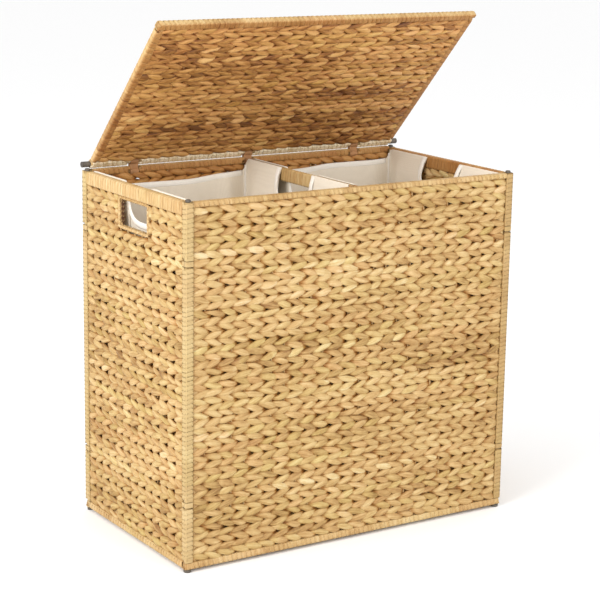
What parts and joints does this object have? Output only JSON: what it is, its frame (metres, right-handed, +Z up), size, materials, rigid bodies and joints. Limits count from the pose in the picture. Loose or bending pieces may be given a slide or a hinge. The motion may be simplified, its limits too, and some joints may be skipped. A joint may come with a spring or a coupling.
{
  "type": "laundry hamper",
  "caption": "Rectangular woven-fibre laundry hamper on wire frames, with a rear-hinged lid, a hand hole and removable cloth bags side by side.",
  "frame": {"origin": "on the floor under the middle of the hamper", "axes": "+Z up, -Y towards the front panel, +X towards the right-hand side panel seen from the front"},
  "size_m": [0.659, 0.365, 0.8802],
  "materials": {
    "weave": "twined dried water-hyacinth stalk, golden straw with brown patches",
    "lid_weave": "twined dried water-hyacinth stalk, golden outside and browner underneath",
    "edge_wrap": "wound dried leaf strip, pale straw",
    "wire": "brown powder-coated steel wire and clips",
    "pin": "dark grey painted steel",
    "cap": "dark grey moulded plastic",
    "liner_cloth": "plain woven cotton-blend cloth, off-white to greige"
  },
  "bodies": {
    "hamper": {"front_frame": "wire", "front_weave": "weave", "front_edge_wraps": "edge_wrap", "back_frame": "wire", "back_weave": "weave", "back_edge_wraps": "edge_wrap", "left_frame": "wire", "left_weave": "weave", "left_edge_wraps": "edge_wrap", "right_frame": "wire", "right_weave": "weave", "right_edge_wraps": "edge_wrap", "left_handle_rim": "edge_wrap", "front_left_pin": "pin", "front_left_sleeves": "edge_wrap", "front_right_pin": "pin", "front_right_sleeves": "edge_wrap", "back_left_pin": "pin", "back_left_sleeves": "edge_wrap", "back_right_pin": "pin", "back_right_sleeves": "edge_wrap", "feet": "cap", "base_frame": "wire", "base_weave": "weave", "base_edge_wraps": "edge_wrap", "crossbar_rod": "wire", "crossbar_wrap": "edge_wrap", "crossbar_brackets": "wire", "left_liner": "liner_cloth", "right_liner": "liner_cloth", "hinge_loops": "wire"},
    "lid": {"lid_frame": "wire", "lid_weave": "lid_weave", "lid_edge_wraps": "edge_wrap", "hinge_caps": "cap"}
  },
  "joints": [
    {"name": "lid_hinge", "type": "hinge", "parent": "hamper", "child": "lid", "pos_m": [0, 0.1755, 0.621], "axis": [-1, 0, 0], "range_deg": [-46, 142]}
  ]
}
